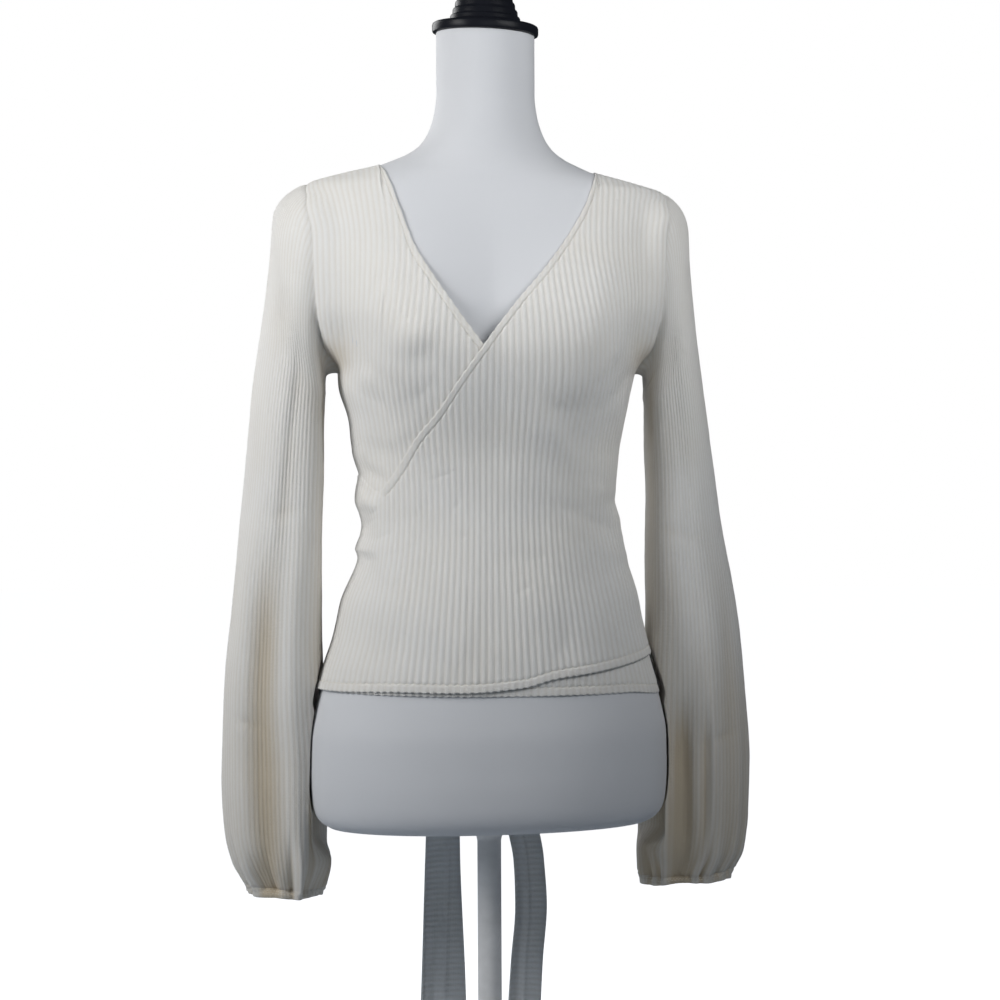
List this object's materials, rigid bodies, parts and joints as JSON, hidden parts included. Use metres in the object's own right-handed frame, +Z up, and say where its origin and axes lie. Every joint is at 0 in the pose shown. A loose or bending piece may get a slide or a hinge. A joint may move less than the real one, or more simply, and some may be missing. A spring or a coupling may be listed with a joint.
{
  "type": "wrap top on dress form",
  "caption": "Rib-knit wrap top with balloon sleeves and sash ties knotted behind, on a limbless dress form with a neck cap, pole and round base.",
  "frame": {"origin": "centre of the stand's round base, at its underside on the floor", "axes": "+Z up along the pole, -Y towards the front of the top, +X towards the wearer's left"},
  "size_m": [0.4988, 0.2954, 1.0935],
  "materials": {
    "rib_knit": "matte",
    "jersey_skin": "matte",
    "black_cap": "gloss",
    "white_lacquer": "satin"
  },
  "bodies": {
    "root": {"front_over": "rib_knit", "front_under": "rib_knit", "back": "rib_knit", "sleeve_left": "rib_knit", "sleeve_right": "rib_knit", "cuff_left": "rib_knit", "cuff_right": "rib_knit", "tie_over_band": "rib_knit", "tie_under_band": "rib_knit", "tie_knot": "rib_knit", "tie_over_end": "rib_knit", "tie_under_end": "rib_knit", "dress_form": "jersey_skin", "neck_cap": "black_cap", "stand": "white_lacquer"}
  },
  "joints": []
}
